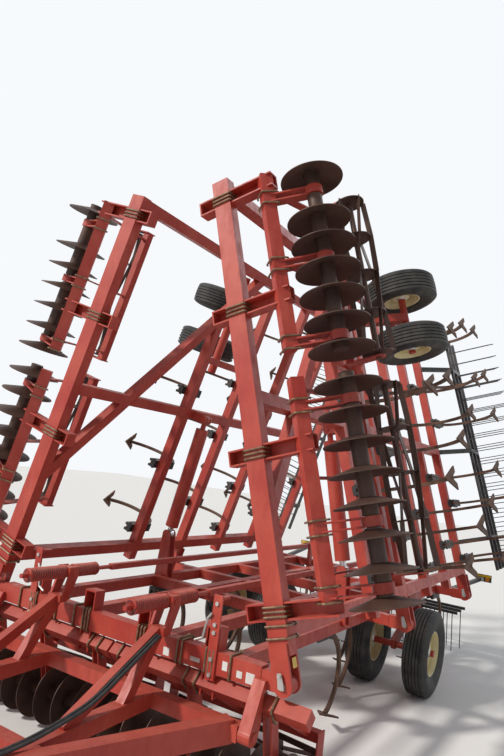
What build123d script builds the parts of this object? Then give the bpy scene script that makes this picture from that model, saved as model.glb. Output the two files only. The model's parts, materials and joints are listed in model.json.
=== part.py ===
from build123d import *
import os
from math import atan2, cos, radians, sin

# Folded disc mulch finisher, in millimetres. +Z is up, the tongue points to -Y,
# +X is the machine's left side. The origin is on the ground below the middle of its length.
# Places along Y are first given from the front tube's front face, and every piece is moved
# by Y_SHIFT when it is written.

# Driving sizes of the whole machine
HINGE_X = 1555          # half the distance between the two lines of wing hinges
FRAME_Z = 1040          # height of the hinge pins, at mid height of the frame tubes
FOLD_DEG = 106.5        # from a level wing to the folded one, which leans inward past upright
WING_LENGTH = 3880      # hinge pin to the outer end of the wing's front tube
FRONT_TIP_Y = -2950     # hitch

# Frame tubes
FRONT_H = 152           # height of the front tubes
TUBE = 102              # every other frame tube, square, and the depth of the front ones
ROW_PITCH = 880         # between the rows that carry the shanks
FIRST_ROW_Y = 1720      # front face of the second tube
SHANK_ROWS = [FIRST_ROW_Y + ROW_PITCH * i for i in range(5)]
HINGE_ROWS = [0, SHANK_ROWS[1], SHANK_ROWS[4]]
WING_RAILS_T = [330, 2000, WING_LENGTH - TUBE / 2]
BRACE_T = 1090          # where the wing's long diagonal leaves the front tube
BRACE_Y = 2300          # where it meets the outer rail

# Hinges
PIN_R = 25
PIN_FIT = 0.05          # running clearance of pins and bearings, on the radius
PLATE = 20              # fork plates
FORK_GAP = 5            # between a lug and the plate beside it
FORK_R = 70
LUG_R = 60
TUBE_END = 180          # from the pin to the end of the tube on either side
FORK_REACH = 260        # how far a fork plate laps along its tube

# Disc gangs
DISC_R = 250
DISC_T = 6
DISH = 55               # depth of a disc
DISC_FLAT_R = 62
DISC_PITCH = 214
SPOOL_R = 59
JOURNAL_R = 45
GANG_Y = 190            # gang axis behind the front tube's face
GANG_DROP = 735         # gang axis below the hinge pins
BEAM_DROP = 394         # middle of the wings' square gang beams, set on edge
CENTRE_BEAM_DROP = 172  # the centre's beams lie close under the front tube
BEAM_Y = 51
HANGER_BACK = 155       # from a disc to the bearing on its inner side
HOUSING_W = 70
HOUSING_R = 72
HANGER_T = 12
OUTER_FIRST = 2245      # first disc of a wing's outer gang, from the hinge
LAST_DISC_IN = 190      # last disc from the wing's end
OUTER_COUNT = int((WING_LENGTH - LAST_DISC_IN - OUTER_FIRST) / DISC_PITCH)
INNER_DISCS = [477 + DISC_PITCH * i for i in range(8)]
OUTER_DISCS = [OUTER_FIRST + DISC_PITCH * i for i in range(OUTER_COUNT)] + [WING_LENGTH - LAST_DISC_IN]
CENTRE_DISCS = [106 + DISC_PITCH * i for i in range(9)]
# name: disc places along the wing, bearings behind these discs, beam from, beam to, beam drop
GANGS = {
    "inner": (INNER_DISCS, (1, 3, -1), 490, 2040, BEAM_DROP),
    "outer": (OUTER_DISCS, (1, -3, -1), OUTER_FIRST + 10, WING_LENGTH - 120, BEAM_DROP),
    "centre": (CENTRE_DISCS, (1, 4, 7), 12, 1750, CENTRE_BEAM_DROP),
}
THIRD_BRACKET_IN = 1180     # the outer brackets' places from the wing's end
LAST_BRACKET_IN = 180
BRACKETS_T = [460, 1556, WING_LENGTH - THIRD_BRACKET_IN, WING_LENGTH - LAST_BRACKET_IN]
CENTRE_BRACKETS_X = [300, 950]
BRACKET_HALF = 60
BRACKET_PLATE = 12
BRACKET_IN = 230
BRACKET_OUT = 76        # from the middle of the gang beam to the bracket's lower end

# Tall plates on the centre tube's face, held by the outer brackets
POST_X = 970
POST_HALF = 38
POST_T = 14
POST_LOW = -121
POST_TOP = 460
POST_ARM = 120

# Chopping reels behind the gangs, each under a beam of its own
REEL_Y = 820
REEL_DROP = 805
REEL_R = 150
REEL_PLATE = 8
REEL_BLADES = 5
REEL_BLADE = (45, 8)
REEL_TWIST = 24         # turn of the blades from one plate to the next, in degrees
REEL_SHAFT_R = 24
REEL_STUB = 42
INNER_REEL_TO = 2020
REEL_SPLIT = 270        # from the inner reel's last round plate to the outer reel's first
REEL_IN = 180           # outer reel's last plate from the wing's end
# name: from, to, and bays of blades between the round plates
REELS = {
    "inner": (600, INNER_REEL_TO, 4),
    "outer": (INNER_REEL_TO + REEL_SPLIT, WING_LENGTH - REEL_IN, 4),
    "centre": (110, 1480, 4),
}
REEL_ARM = (12, 70)
REEL_END = 12           # thickness of the plates that hold a reel
REEL_END_W = 120
REEL_END_OUT = 26       # from a reel's last round plate to its end plate
REEL_BEAM = 76
REEL_BEAM_DROP = 570

# Wheels: outer diameter, width, rim radius
BIG_TYRE = (980, 290, 255)
WING_TYRE = (777, 279, 200)
WHEELS_X = (1400, 700)
ROCK_Y = 4640
AXLE_AHEAD = 669        # axles ahead of the rockshaft
AXLE_Y = ROCK_Y - AXLE_AHEAD
ROCK_DROP = 230
ROCK_R = 60
ARM_X = 1030
ARM_W = 60
WING_ROCK_Y = 2160
WING_ROCK_DROP = 130
WING_AXLE_Y = 2560
WING_WHEELS_T = (WING_LENGTH - 1030, WING_LENGTH - 430)
WING_BEARING = 480      # from the middle of the wing wheels to each bearing of their rockshaft
AXLE_R = 38

# Shanks, with each row's places across a wing and across the centre
SHANK_R = 400
SHANK_W = 32
SHANK_D = 44
SHANK_LEVEL = 110
SHANK_BACK = 190
SHANK_TURN = 158
SWEEP_W = 230
SWEEP_L = 210
# places from the hinge, and places from the wing's end
WING_SHANK_TABLE = [
    ((520, 1320), (1640,)),
    ((860, 1780), (1400,)),
    ((480, 1100, 2200), (580,)),
    ((700, 1560), (1080, 280)),
    ((480, 1240), (1460, 860, 140)),
]
WING_SHANKS = [near + tuple(WING_LENGTH - t for t in far) for near, far in WING_SHANK_TABLE]
CENTRE_SHANKS = [(200, 1000), (0, 760), (380,), (120, 930), (520, 1100)]
MOUNT_W = 90            # the black channels that hold the shanks
MOUNT_FRONT = 60
MOUNT_BACK = 300
MOUNT_SKIRT = 30

# Harrow
HARROW_DROP = 380
HARROW_BARS_Y = (5900, 6150, 6400)
HARROW_BAR = 40
TOOTH = 11
TOOTH_PITCH = 200
TOOTH_RAKE = 100
TOOTH_TIP = 1000
HARROW_ARM = 60
WING_ARMS_T = (700, 2000, WING_LENGTH - 580)
CENTRE_HARROW_HALF = 1330
CENTRE_ARMS_X = (-700, 0, 700)

# Fold cylinders
CYL_Y = 1950
CYL_LUG_T = 2000
CYL_LUG_UP = 200
TOWER_IN = 455
TOWER_UP = 500
BARREL_R = 75
ROD_R = 32
ROD_FIT = 0.3
BARREL_FROM = 120
BARREL_TO = 1300
ROD_IN = 1130
CLEVIS_GAP = 40
EYE_R = 50
EYE_HALF = 30
EYE_PIN_R = 20
LUG_PLATE = 20

# Springs round the levelling rods
SPRING_R = 48
SPRING_WIRE = 18
SPRING_PITCH = 22
SPRING_TURNS = (17, 12)

# Tongue
TONGUE_PIN_Y = -105
TONGUE_PIN_Z = 710
TONGUE_PIN_X = 1385
TONGUE_PIN_R = 30
BOOT_W = 90             # the hangers that carry the tongue
BOOT_R = 60
BOOT_LIP = 30
TONGUE_H = 152          # height of the tongue's two long tubes
TONGUE_FRONT_Y = -2500
TONGUE_FRONT_X = 120
TONGUE_FRONT_Z = 600
NOSE_Y = TONGUE_FRONT_Y - 40     # front face of the tongue's nose plate
CROSS_Y = -1200
TOWER_X = 550
TOWER_Z = 1380
TRUNNION_Y = -40
TOWER_FOOT_Y = -420
TOWER_NECK = (-130, 1170)
ROD_PIN_R = 15
ROD_EYE_FREE = 3        # play of the rods' rear eyes on the levers' pins
HITCH_R = 16
HITCH_FIT = 1
JACK_Y = -2240
JACK_R = 40
LEG_R = 32
JACK_TOP = 1060
JACK_BOTTOM = 330

# Hoses that lie along the tongue's left tube and tower
HOSE_R = 12
HOSE_GAP = 30           # between the two hoses, middle to middle
HOSE_BEND = 90
HOSE_LIFT = 0.2         # above the tube, for its slope
HOSE_BESIDE = 66        # from the middle of the tower to the hoses

# Lamps on arms behind the last tube
LAMP_ARM = 50
LAMP_X = 1545
LAMP_Y = 6560
LAMP_Z = 1150
LAMP_PLATE = (230, 8, 110)
LAMP_R = 45
LAMP_T = 40

FOLD = radians(FOLD_DEG)
TOOTH_TILT = atan2(TOOTH_RAKE, TOOTH_TIP - HARROW_DROP)
REAR_TIP_Y = LAMP_Y + LAMP_PLATE[1] + LAMP_T
Y_SHIFT = -(FRONT_TIP_Y + REAR_TIP_Y) / 2
CENTRE_RAILS_X = [450, HINGE_X - TOWER_IN]


def block(x0, x1, y0, y1, z0, z1):
    """A box between two corners."""
    return Pos((x0 + x1) / 2, (y0 + y1) / 2, (z0 + z1) / 2) * Box(x1 - x0, y1 - y0, z1 - z0)


def round_bar(start, end, r):
    """A round bar between two points."""
    a = Vector(*start)
    d = Vector(*end) - a
    low = (Align.CENTER, Align.CENTER, Align.MIN)
    return Plane(origin=a, z_dir=d) * Cylinder(r, d.length, align=low)


def square_bar(start, end, across, tall, side=(1, 0, 0)):
    """A square tube between two points; across is measured along side."""
    a = Vector(*start)
    d = Vector(*end) - a
    along = d.normalized()
    flat = Vector(*side)
    flat = flat - along * flat.dot(along)
    low = (Align.CENTER, Align.CENTER, Align.MIN)
    return Plane(origin=a, x_dir=flat, z_dir=d) * Box(across, tall, d.length, align=low)


def y_disc(x, z, r, y0, y1):
    """A round plate with its axis along Y."""
    return Pos(x, (y0 + y1) / 2, z) * Rot(90, 0, 0) * Cylinder(r, y1 - y0)


def x_disc(y, z, r, x0, x1):
    """A round plate with its axis along X."""
    return Pos((x0 + x1) / 2, y, z) * Rot(0, 90, 0) * Cylinder(r, x1 - x0)


def join(parts):
    """All the pieces of a list as one shape."""
    return Part() + list(parts)


def fold(shape):
    """From the level wing's own axes, with its hinge pin at 0, to the folded left wing."""
    return Pos(HINGE_X, 0, FRAME_Z) * Rot(0, -FOLD_DEG, 0) * shape


def raise_centre(shape):
    """From heights measured at the hinge pins to heights above ground."""
    return Pos(0, 0, FRAME_Z) * shape


def mirrored(shape):
    return mirror(shape, about=Plane.YZ)


pieces = {}


def keep(name, shape):
    pieces[name] = shape


def keep_pair(name, shape):
    keep(name + "_left", shape)
    keep(name + "_right", mirrored(shape))


# Frames

def fork(y):
    """Two flared plates on the wing tube's end, bored for the hinge pin."""
    plates = []
    for y0 in (y - PLATE, y + TUBE):
        plate = block(0, FORK_REACH, y0, y0 + PLATE, -FORK_R, FORK_R) + y_disc(0, 0, FORK_R, y0, y0 + PLATE)
        plates.append(plate - y_disc(0, 0, PIN_R, y0 - 1, y0 + PLATE + 1))
    return plates


def centre_lug(y):
    """The centre tube's end, which stands between the fork's plates."""
    y0 = y + FORK_GAP
    y1 = y + TUBE - FORK_GAP
    lug = block(HINGE_X - TUBE_END, HINGE_X, y0, y1, -LUG_R, LUG_R)
    lug += y_disc(HINGE_X, 0, LUG_R, y0, y1)
    return lug - y_disc(HINGE_X, 0, PIN_R + PIN_FIT, y0 - 1, y1 + 1)


def cross_tube(end, y):
    """A transverse tube of the wing, with its front face at y."""
    half = TUBE / 2
    return block(TUBE_END, end, y, y + TUBE, -half, half)


def rail(x, rows):
    """A fore-aft rail, in pieces that butt against the tubes of these rows."""
    half = TUBE / 2
    return [block(x - half, x + half, y0 + TUBE, y1, -half, half) for y0, y1 in zip(rows, rows[1:])]


def brace(tall):
    """The wing's long diagonal, from the front tube to the outer rail."""
    half = TUBE / 2
    rail_in = WING_LENGTH - TUBE
    bar = square_bar((BRACE_T, half, 0), (WING_LENGTH - half, BRACE_Y, 0), TUBE, tall)
    bar -= block(0, WING_LENGTH, -TUBE, TUBE, -FRONT_H, FRONT_H)
    return bar - block(rail_in, WING_LENGTH + TUBE, 0, SHANK_ROWS[-1], -FRONT_H, FRONT_H)


def nearest(shape):
    """The solid of a cut shape that is nearest to the hinge."""
    return shape.solids().sort_by(Axis.X)[0]


def wing_cross_tubes():
    """The front tube and the five tubes that carry the shanks; the second stops at the diagonal."""
    tubes = [block(TUBE_END, WING_LENGTH, 0, TUBE, -FRONT_H / 2, FRONT_H / 2)]
    tubes.append(nearest(cross_tube(WING_LENGTH, SHANK_ROWS[0]) - brace(FRONT_H)))
    for y in SHANK_ROWS[1:]:
        tubes.append(cross_tube(WING_LENGTH, y))
    return Compound(children=tubes)


def wing_rails():
    """Rails between the tubes, the fold cylinder's lugs and the wheel shaft's bearings."""
    inner, middle, outer = WING_RAILS_T
    rows = [0] + SHANK_ROWS
    parts = rail(inner, rows)
    parts += rail(outer, [0] + SHANK_ROWS[1:])
    middle_bars = rail(middle, rows)
    parts += (middle_bars[0] - brace(FRONT_H)).solids()
    parts.append(middle_bars[1] + cylinder_lug(CYL_LUG_T, CYL_LUG_UP))
    parts += middle_bars[2:]
    return Compound(children=parts + wing_rock_bearings())


def wing_brace():
    return brace(TUBE - 8)


def wing_hinge_plates():
    plates = []
    for y in HINGE_ROWS:
        plates += fork(y)
    return Compound(children=plates)


def cylinder_lug(t, up):
    """Two plates that stand on the middle rail and hold the fold cylinder's base."""
    plates = []
    for s in (-1, 1):
        y0 = CYL_Y + s * CLEVIS_GAP
        y1 = CYL_Y + s * (CLEVIS_GAP + LUG_PLATE)
        y0, y1 = min(y0, y1), max(y0, y1)
        plates.append(block(t - EYE_R, t + EYE_R, y0, y1, 0, up))
        plates.append(y_disc(t, up, EYE_R, y0, y1))
    reach = CLEVIS_GAP + LUG_PLATE + 10
    plates.append(y_disc(t, up, EYE_PIN_R, CYL_Y - reach, CYL_Y + reach))
    return join(plates)


def fold_tower():
    """The tower on the centre frame that holds the fold cylinder's rod."""
    x = HINGE_X - TOWER_IN
    plates = []
    for s in (-1, 1):
        y0 = CYL_Y + s * CLEVIS_GAP
        y1 = CYL_Y + s * (CLEVIS_GAP + LUG_PLATE)
        y0, y1 = min(y0, y1), max(y0, y1)
        with BuildSketch(Plane.XZ.offset(-y1)) as outline:
            with BuildLine():
                Polyline((x - 90, 0), (x - EYE_R, TOWER_UP), (x + EYE_R, TOWER_UP), (x + 90, 0), close=True)
            make_face()
        plates.append(extrude(outline.sketch, y1 - y0))
        plates.append(y_disc(x, TOWER_UP, EYE_R, y0, y1))
    return join(plates)


def tongue_boot():
    """The heavy hanger on the front tube's face that carries one end of the tongue's cross tube."""
    z = TONGUE_PIN_Z - FRAME_Z
    back = BEAM_Y - TUBE * 0.5 ** 0.5 - FORK_GAP
    x0 = TONGUE_PIN_X - BOOT_W / 2
    x1 = TONGUE_PIN_X + BOOT_W / 2
    with BuildSketch(Plane.YZ.offset(x0)) as outline:
        with BuildLine():
            Polyline((0, 0), (-BOOT_LIP, 0), (TONGUE_PIN_Y - BOOT_R, z + 10), (TONGUE_PIN_Y - BOOT_R, z),
                     (TONGUE_PIN_Y + BOOT_R, z), (back, z + BOOT_R), (back, -FRONT_H / 2), (0, -FRONT_H / 2),
                     close=True)
        make_face()
    boot = extrude(outline.sketch, BOOT_W) + x_disc(TONGUE_PIN_Y, z, BOOT_R, x0, x1)
    return boot - x_disc(TONGUE_PIN_Y, z, TONGUE_PIN_R + PIN_FIT, x0 - 1, x1 + 1)


def rock_bearing(x, y, drop, r):
    """The bearing under a rail that carries a rockshaft."""
    ring = x_disc(y, -drop, r + 25, x - 20, x + 20) + block(x - 20, x + 20, y - 60, y + 60, -drop, 0)
    return ring - x_disc(y, -drop, r + PIN_FIT, x - 21, x + 21)


def centre_cross_tubes():
    """The front tube and five tubes; those with hinges reach out to the lugs."""
    half = TUBE / 2
    wide = HINGE_X - TUBE_END
    narrow = CENTRE_RAILS_X[1] + half
    tubes = [block(-wide, wide, 0, TUBE, -FRONT_H / 2, FRONT_H / 2)]
    for y in SHANK_ROWS:
        end = wide if y in HINGE_ROWS else narrow
        tubes.append(block(-end, end, y, y + TUBE, -half, half))
    return Compound(children=tubes)


def both_sides(parts):
    return Compound(children=parts + [mirrored(p) for p in parts])


def centre_rails():
    """Rails between the tubes, with the fold towers and the rockshaft's bearings on them."""
    inner, outer = [rail(x, [0] + SHANK_ROWS) for x in CENTRE_RAILS_X]
    outer[1] += fold_tower()
    for bars, x in ((inner, CENTRE_RAILS_X[0]), (outer, CENTRE_RAILS_X[1])):
        bars[-1] += rock_bearing(x, ROCK_Y, ROCK_DROP, ROCK_R)
    return both_sides(inner + outer)


def centre_lugs():
    """The lugs of the wing hinges and the two boots that carry the tongue."""
    return both_sides([centre_lug(y) for y in HINGE_ROWS] + [tongue_boot()])


# Disc gangs

def gang(discs, bearings):
    """Discs and spools on one shaft along X, as one turned solid with its axis at 0."""
    first = discs[0] - 45
    last = discs[-1] + 45
    shaft = x_disc(0, 0, SPOOL_R, first, last)
    for i in bearings:
        middle = discs[i] - HANGER_BACK
        wide = HOUSING_W / 2 + FORK_GAP
        groove = x_disc(0, 0, SPOOL_R + 1, middle - wide, middle + wide)
        shaft -= groove - x_disc(0, 0, JOURNAL_R, middle - wide - 1, middle + wide + 1)
    for x in discs:
        with BuildSketch(Plane.XY) as profile:
            with BuildLine():
                Polyline((x, 0), (x, DISC_FLAT_R), (x - DISH, DISC_R), (x - DISH + DISC_T, DISC_R),
                         (x + DISC_T, DISC_FLAT_R), (x + DISC_T, 0), close=True)
            make_face()
        shaft += revolve(profile.sketch, Axis.X)
    return shaft


def hanger(x, drop):
    """Two flat plates from the gang beam to one bearing housing."""
    parts = [x_disc(GANG_Y, -GANG_DROP, HOUSING_R, x - HOUSING_W / 2, x + HOUSING_W / 2)]
    for s in (-1, 1):
        x1 = x + s * HOUSING_W / 2
        x0 = x1 - s * HANGER_T
        start = ((x0 + x1) / 2, BEAM_Y, -drop)
        end = ((x0 + x1) / 2, GANG_Y, -GANG_DROP)
        parts.append(square_bar(start, end, HANGER_T, 90, side=(1, 0, 0)))
    return join(parts) - x_disc(GANG_Y, -GANG_DROP, JOURNAL_R + PIN_FIT, x - 60, x + 60)


def reel(x0, x1, bays):
    """A chopping reel with its axis along X: round plates, slanting flat blades and stub shafts."""
    parts = [x_disc(0, 0, REEL_SHAFT_R, x0 - REEL_STUB, x1 + REEL_STUB)]
    pitch = (x1 - x0 - REEL_PLATE) / bays
    for i in range(bays + 1):
        parts.append(x_disc(0, 0, REEL_R - 20, x0 + i * pitch, x0 + i * pitch + REEL_PLATE))
    r = REEL_R - REEL_BLADE[0] / 2
    for i in range(bays):
        for k in range(REEL_BLADES):
            a0 = radians(i * REEL_TWIST + k * 360 / REEL_BLADES)
            a1 = a0 + radians(REEL_TWIST)
            start = (x0 + i * pitch, r * cos(a0), r * sin(a0))
            end = (x0 + (i + 1) * pitch + REEL_PLATE, r * cos(a1), r * sin(a1))
            middle = (a0 + a1) / 2
            out = (0, cos(middle), sin(middle))
            parts.append(square_bar(start, end, *REEL_BLADE, side=out))
    return join(parts)


def reel_frame(x0, x1, drop):
    """The beam over a reel, flat arms from the gang beam, and end plates with the reel's bearings."""
    half = REEL_BEAM / 2
    ends = (x0 - REEL_END_OUT, x1 + REEL_END_OUT)
    parts = [block(ends[0], ends[1], REEL_Y - half, REEL_Y + half, -REEL_BEAM_DROP - half, half - REEL_BEAM_DROP)]
    inset = REEL_END_W / 2
    for x in (x0 + inset, (x0 + x1) / 2, x1 - inset):
        parts.append(square_bar((x, BEAM_Y, -drop), (x, REEL_Y, -REEL_BEAM_DROP), *REEL_ARM))
    for x in ends:
        x2, x3 = x - REEL_END / 2, x + REEL_END / 2
        plate = block(x2, x3, REEL_Y - inset, REEL_Y + inset, -REEL_DROP, half - REEL_BEAM_DROP)
        plate += x_disc(REEL_Y, -REEL_DROP, inset, x2, x3)
        parts.append(plate - x_disc(REEL_Y, -REEL_DROP, REEL_SHAFT_R + PIN_FIT, x2 - 1, x3 + 1))
    return parts


def gang_beam(x0, x1, drop):
    middle = Pos((x0 + x1) / 2, BEAM_Y, -drop)
    return middle * Rot(45, 0, 0) * Box(x1 - x0, TUBE, TUBE)


def gang_bracket(x, drop):
    """The channel that clamps a gang beam under the front tube."""
    back = TUBE + BRACKET_PLATE
    low = -drop - BRACKET_OUT
    web = block(x - BRACKET_HALF, x + BRACKET_HALF, TUBE, back, low, BRACKET_IN)
    flanges = []
    for s in (-1, 1):
        x1 = x + s * BRACKET_HALF
        x0 = x1 - s * BRACKET_PLATE
        flanges.append(block(min(x0, x1), max(x0, x1), 8, back, low, BRACKET_IN))
    end = block(x - BRACKET_HALF, x + BRACKET_HALF, 8, back, BRACKET_IN - BRACKET_PLATE, BRACKET_IN)
    tube = block(x - 2 * BRACKET_HALF, x + 2 * BRACKET_HALF, 0, TUBE, -FRONT_H / 2, FRONT_H / 2)
    return join([web, end] + flanges) - tube


def post_plate():
    """The tall plate on the front tube's face, with a strap over the bracket and an arm at its top."""
    x0, x1 = POST_X - POST_HALF, POST_X + POST_HALF
    plate = block(x0, x1, -POST_T, 0, POST_LOW, POST_TOP)
    strap = block(x0, x1, -POST_T, TUBE / 2, BRACKET_IN, BRACKET_IN + BRACKET_PLATE)
    half = POST_HALF / 2
    arm = block(POST_X - half, POST_X + half, -POST_T, POST_ARM, POST_TOP - 2 * half, POST_TOP - half)
    return join([plate, strap, arm])


def gang_carrier(names, brackets):
    """Gang beams with their brackets, the hangers of the gangs and the frames of the reels."""
    drop = GANGS[names[0]][-1]
    parts = [gang_bracket(x, drop) for x in brackets]
    for name in names:
        discs, bearings, start, end, drop = GANGS[name]
        parts.append(gang_beam(start, end, drop))
        parts += [hanger(discs[i] - HANGER_BACK, drop) for i in bearings]
        parts += reel_frame(*REELS[name][:2], drop)
    return join(parts)


# Wheels

def tyre(size):
    """A ribbed tyre, turned about X."""
    od, width, rim = size
    r = od / 2
    w = width / 2
    with BuildSketch(Plane.XY) as profile:
        with BuildLine():
            Polyline((-w * 0.72, rim), (-w * 0.98, r * 0.62), (-w, r * 0.78), (-w * 0.82, r * 0.95),
                     (-w * 0.7, r), (-w * 0.34, r), (-w * 0.3, r - 12), (-w * 0.2, r - 12), (-w * 0.16, r),
                     (w * 0.16, r), (w * 0.2, r - 12), (w * 0.3, r - 12), (w * 0.34, r),
                     (w * 0.7, r), (w * 0.82, r * 0.95), (w, r * 0.78), (w * 0.98, r * 0.62),
                     (w * 0.72, rim), close=True)
        make_face()
    return revolve(profile.sketch, Axis.X)


def rim(size, hub):
    """A steel wheel: barrel, dished disc and hub, bored for the axle."""
    od, width, r = size
    w = width / 2 * 0.72
    with BuildSketch(Plane.XY) as profile:
        with BuildLine():
            Polyline((-w, r), (-w, r - 14), (-w * 0.5, r - 30), (0, r - 32), (10, hub + 40), (-hub, hub + 30),
                     (-hub, AXLE_R + PIN_FIT), (hub, AXLE_R + PIN_FIT), (hub, hub + 30), (28, hub + 42),
                     (26, r - 30), (w * 0.5, r - 30), (w, r - 14), (w, r), close=True)
        make_face()
    return revolve(profile.sketch, Axis.X)


def lift_axle():
    """The rockshaft under the centre frame with its arms, axles and the levelling levers."""
    axle_z = BIG_TYRE[0] / 2 - FRAME_Z
    shaft = x_disc(ROCK_Y, -ROCK_DROP, ROCK_R, -CENTRE_RAILS_X[1] - 60, CENTRE_RAILS_X[1] + 60)
    side = [square_bar((ARM_X, ROCK_Y, -ROCK_DROP), (ARM_X, AXLE_Y - 50, axle_z), ARM_W, 120)]
    reach = BIG_TYRE[1] / 2 - 30
    axle_x = min(WHEELS_X) - reach, max(WHEELS_X) + reach
    side.append(x_disc(AXLE_Y, axle_z, AXLE_R, *axle_x))
    lever_z = TOWER_Z - FRAME_Z
    side.append(square_bar((TOWER_X, ROCK_Y, -ROCK_DROP), (TOWER_X, ROCK_Y, lever_z), 40, 90))
    side.append(x_disc(ROCK_Y, lever_z, 45, TOWER_X - 20, TOWER_X + 20))
    side.append(x_disc(ROCK_Y, lever_z, ROD_PIN_R, TOWER_X - 42, TOWER_X + 42))
    arm = join(side)
    return shaft + arm + mirrored(arm)


def wing_axle():
    """The wing's rockshaft, its arm and the axle of the two gauge wheels, in the wing's axes."""
    drop = FRAME_Z - WING_TYRE[0] / 2
    t0, t1 = WING_WHEELS_T
    middle = (t0 + t1) / 2
    end = WING_BEARING + 140
    shaft = x_disc(WING_ROCK_Y, -WING_ROCK_DROP, 50, middle - end, middle + end)
    arm = square_bar((middle, WING_ROCK_Y, -WING_ROCK_DROP), (middle, WING_AXLE_Y, -drop), 90, 120)
    half = WING_TYRE[1] / 2 - 30
    axle = x_disc(WING_AXLE_Y, -drop, AXLE_R, t0 - half, t1 + half)
    return join([shaft, arm, axle])


def wing_rock_bearings():
    t0, t1 = WING_WHEELS_T
    middle = (t0 + t1) / 2
    parts = []
    for t in (middle - WING_BEARING, middle + WING_BEARING):
        beam = block(t - 40, t + 40, SHANK_ROWS[0] + TUBE, SHANK_ROWS[1], -40, 40)
        beam += block(t - 20, t + 20, WING_ROCK_Y, WING_ROCK_Y + 110, 60 - WING_ROCK_DROP, 0)
        beam += rock_bearing(t, WING_ROCK_Y, WING_ROCK_DROP, 50)
        parts.append((beam - wing_brace()).solids().sort_by(Axis.Y)[-1])
    return parts


# Ground tools

def shank(x, row_y):
    """One curved shank with its sweep, below the row's tube."""
    a = SHANK_R + SHANK_D / 2
    b = SHANK_R - SHANK_D / 2
    turn = radians(SHANK_TURN)
    cy = row_y + SHANK_BACK
    cz = -SHANK_LEVEL - SHANK_R
    outer_end = (cy + a * sin(turn), cz + a * cos(turn))
    inner_end = (cy + b * sin(turn), cz + b * cos(turn))
    outer_mid = (cy + a * sin(turn / 2), cz + a * cos(turn / 2))
    inner_mid = (cy + b * sin(turn / 2), cz + b * cos(turn / 2))
    top = -SHANK_LEVEL + SHANK_D / 2
    with BuildSketch(Plane.YZ.offset(x - SHANK_W / 2)) as outline:
        with BuildLine():
            Line((row_y - 40, top), (cy, top))
            ThreePointArc((cy, top), outer_mid, outer_end)
            Line(outer_end, inner_end)
            ThreePointArc(inner_end, inner_mid, (cy, top - SHANK_D))
            Line((cy, top - SHANK_D), (row_y - 40, top - SHANK_D))
            Line((row_y - 40, top - SHANK_D), (row_y - 40, top))
        make_face()
    bar = extrude(outline.sketch, SHANK_W)
    foot = Vector(x, (outer_end[0] + inner_end[0]) / 2, (outer_end[1] + inner_end[1]) / 2)
    with BuildSketch(Plane(origin=(x, foot.Y, foot.Z), x_dir=(1, 0, 0), z_dir=(0, 0.25, 1))) as vee:
        with BuildLine():
            Polyline((0, -SWEEP_L * 0.55), (SWEEP_W / 2, SWEEP_L * 0.45), (SWEEP_W / 2 - 60, SWEEP_L * 0.45),
                     (0, SWEEP_L * 0.1), (60 - SWEEP_W / 2, SWEEP_L * 0.45), (-SWEEP_W / 2, SWEEP_L * 0.45),
                     close=True)
        make_face()
    return bar + extrude(vee.sketch, 8, both=True)


def shank_mount(x, row_y):
    """The channel under a tube that holds a shank's level end."""
    half = MOUNT_W / 2
    y0 = row_y - MOUNT_FRONT
    y1 = row_y + MOUNT_BACK
    low = -SHANK_LEVEL - MOUNT_SKIRT
    slot = SHANK_W / 2 + 1
    body = block(x - half, x + half, y0, y1, low, -TUBE / 2)
    return body - block(x - slot, x + slot, y0 - 1, y1 + 1, low - 1, -SHANK_LEVEL + SHANK_D / 2)


def along_rows(make, rows, two_sides=False):
    """One piece at each place of each row, on both sides of the middle if asked."""
    parts = []
    for row_y, places in zip(SHANK_ROWS, rows):
        for x in places:
            parts.append(make(x, row_y))
            if two_sides and x > 0:
                parts.append(make(-x, row_y))
    return Compound(children=parts)


def harrow(x0, x1, arms):
    """Bars with straight teeth behind the last row."""
    parts = []
    half = HARROW_BAR / 2
    for y in HARROW_BARS_Y:
        parts.append(block(x0, x1, y - half, y + half, -HARROW_DROP - half, -HARROW_DROP + half))
        count = int((x1 - x0 - 60) / TOOTH_PITCH) - 1
        step = (HARROW_BARS_Y.index(y) - 1) * TOOTH_PITCH / len(HARROW_BARS_Y)
        start = (x0 + x1 - count * TOOTH_PITCH) / 2 + step
        for i in range(count + 1):
            t = start + i * TOOTH_PITCH
            tip = (t, y + TOOTH_RAKE, -TOOTH_TIP)
            parts.append(square_bar((t, y, -HARROW_DROP), tip, TOOTH, TOOTH))
    back = SHANK_ROWS[-1] + TUBE
    for x in arms:
        a = HARROW_ARM / 2
        parts.append(square_bar((x, back, 0), (x, HARROW_BARS_Y[0], -HARROW_DROP), HARROW_ARM, HARROW_ARM))
        parts.append(block(x - a, x + a, HARROW_BARS_Y[0] - a, HARROW_BARS_Y[-1] + half,
                           -HARROW_DROP - half, -HARROW_DROP + a))
    shape = join(parts)
    return shape - block(x0 - 300, x1 + 300, back - 200, back, -TUBE, TUBE)


# Fold cylinder, in the level wing's axes

def cylinder_line():
    """Base pin and rod pin of the folded left cylinder in the wing's axes, and its direction."""
    x = -TOWER_IN
    z = TOWER_UP
    t = x * cos(FOLD) + z * sin(FOLD)
    up = -x * sin(FOLD) + z * cos(FOLD)
    base = Vector(CYL_LUG_T, CYL_Y, CYL_LUG_UP)
    rod_end = Vector(t, CYL_Y, up)
    return base, rod_end, (rod_end - base).normalized()


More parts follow.
